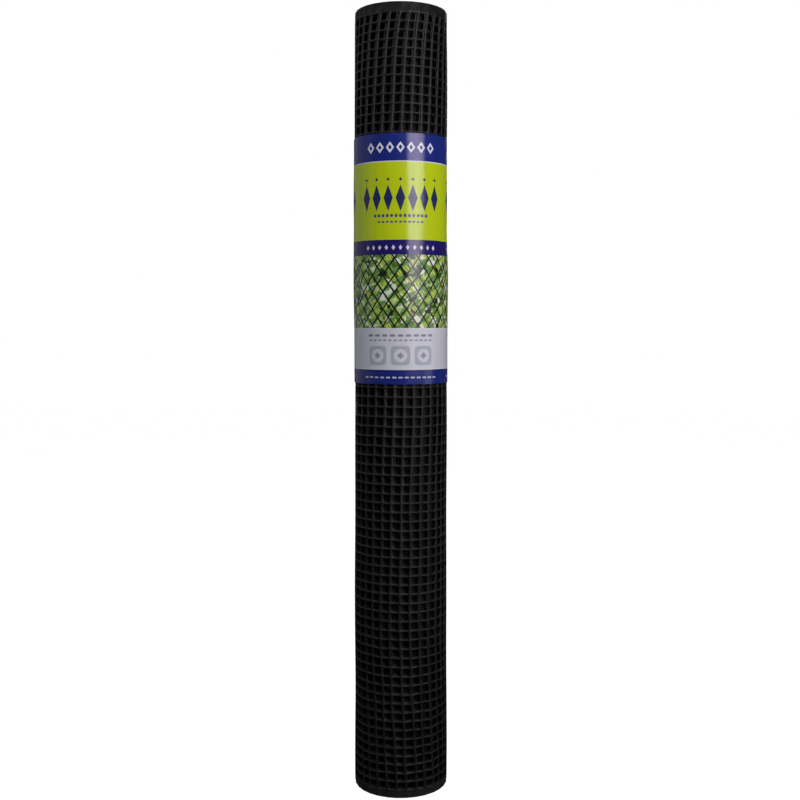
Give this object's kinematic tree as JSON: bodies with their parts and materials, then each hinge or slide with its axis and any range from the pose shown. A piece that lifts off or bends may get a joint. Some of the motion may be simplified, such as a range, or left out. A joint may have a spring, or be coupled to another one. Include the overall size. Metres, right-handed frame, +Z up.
{
  "type": "plastic mesh netting roll",
  "caption": "Upright roll of black square-mesh plastic netting, wound round an open eye and held closed by a glossy printed wrap label.",
  "frame": {"origin": "on the floor, under the middle of the standing roll", "axes": "+Z up along the roll, -Y towards the pictured face, +X to its right"},
  "size_m": [0.1122, 0.1119, 0.914],
  "materials": {
    "net_plastic": "extruded black polyethylene, satin",
    "label_film": "printed film, glossy, in deep blue, lime green, dark green and pale grey"
  },
  "bodies": {
    "root": {"net_roll": "net_plastic", "label_band": "label_film"}
  },
  "joints": []
}
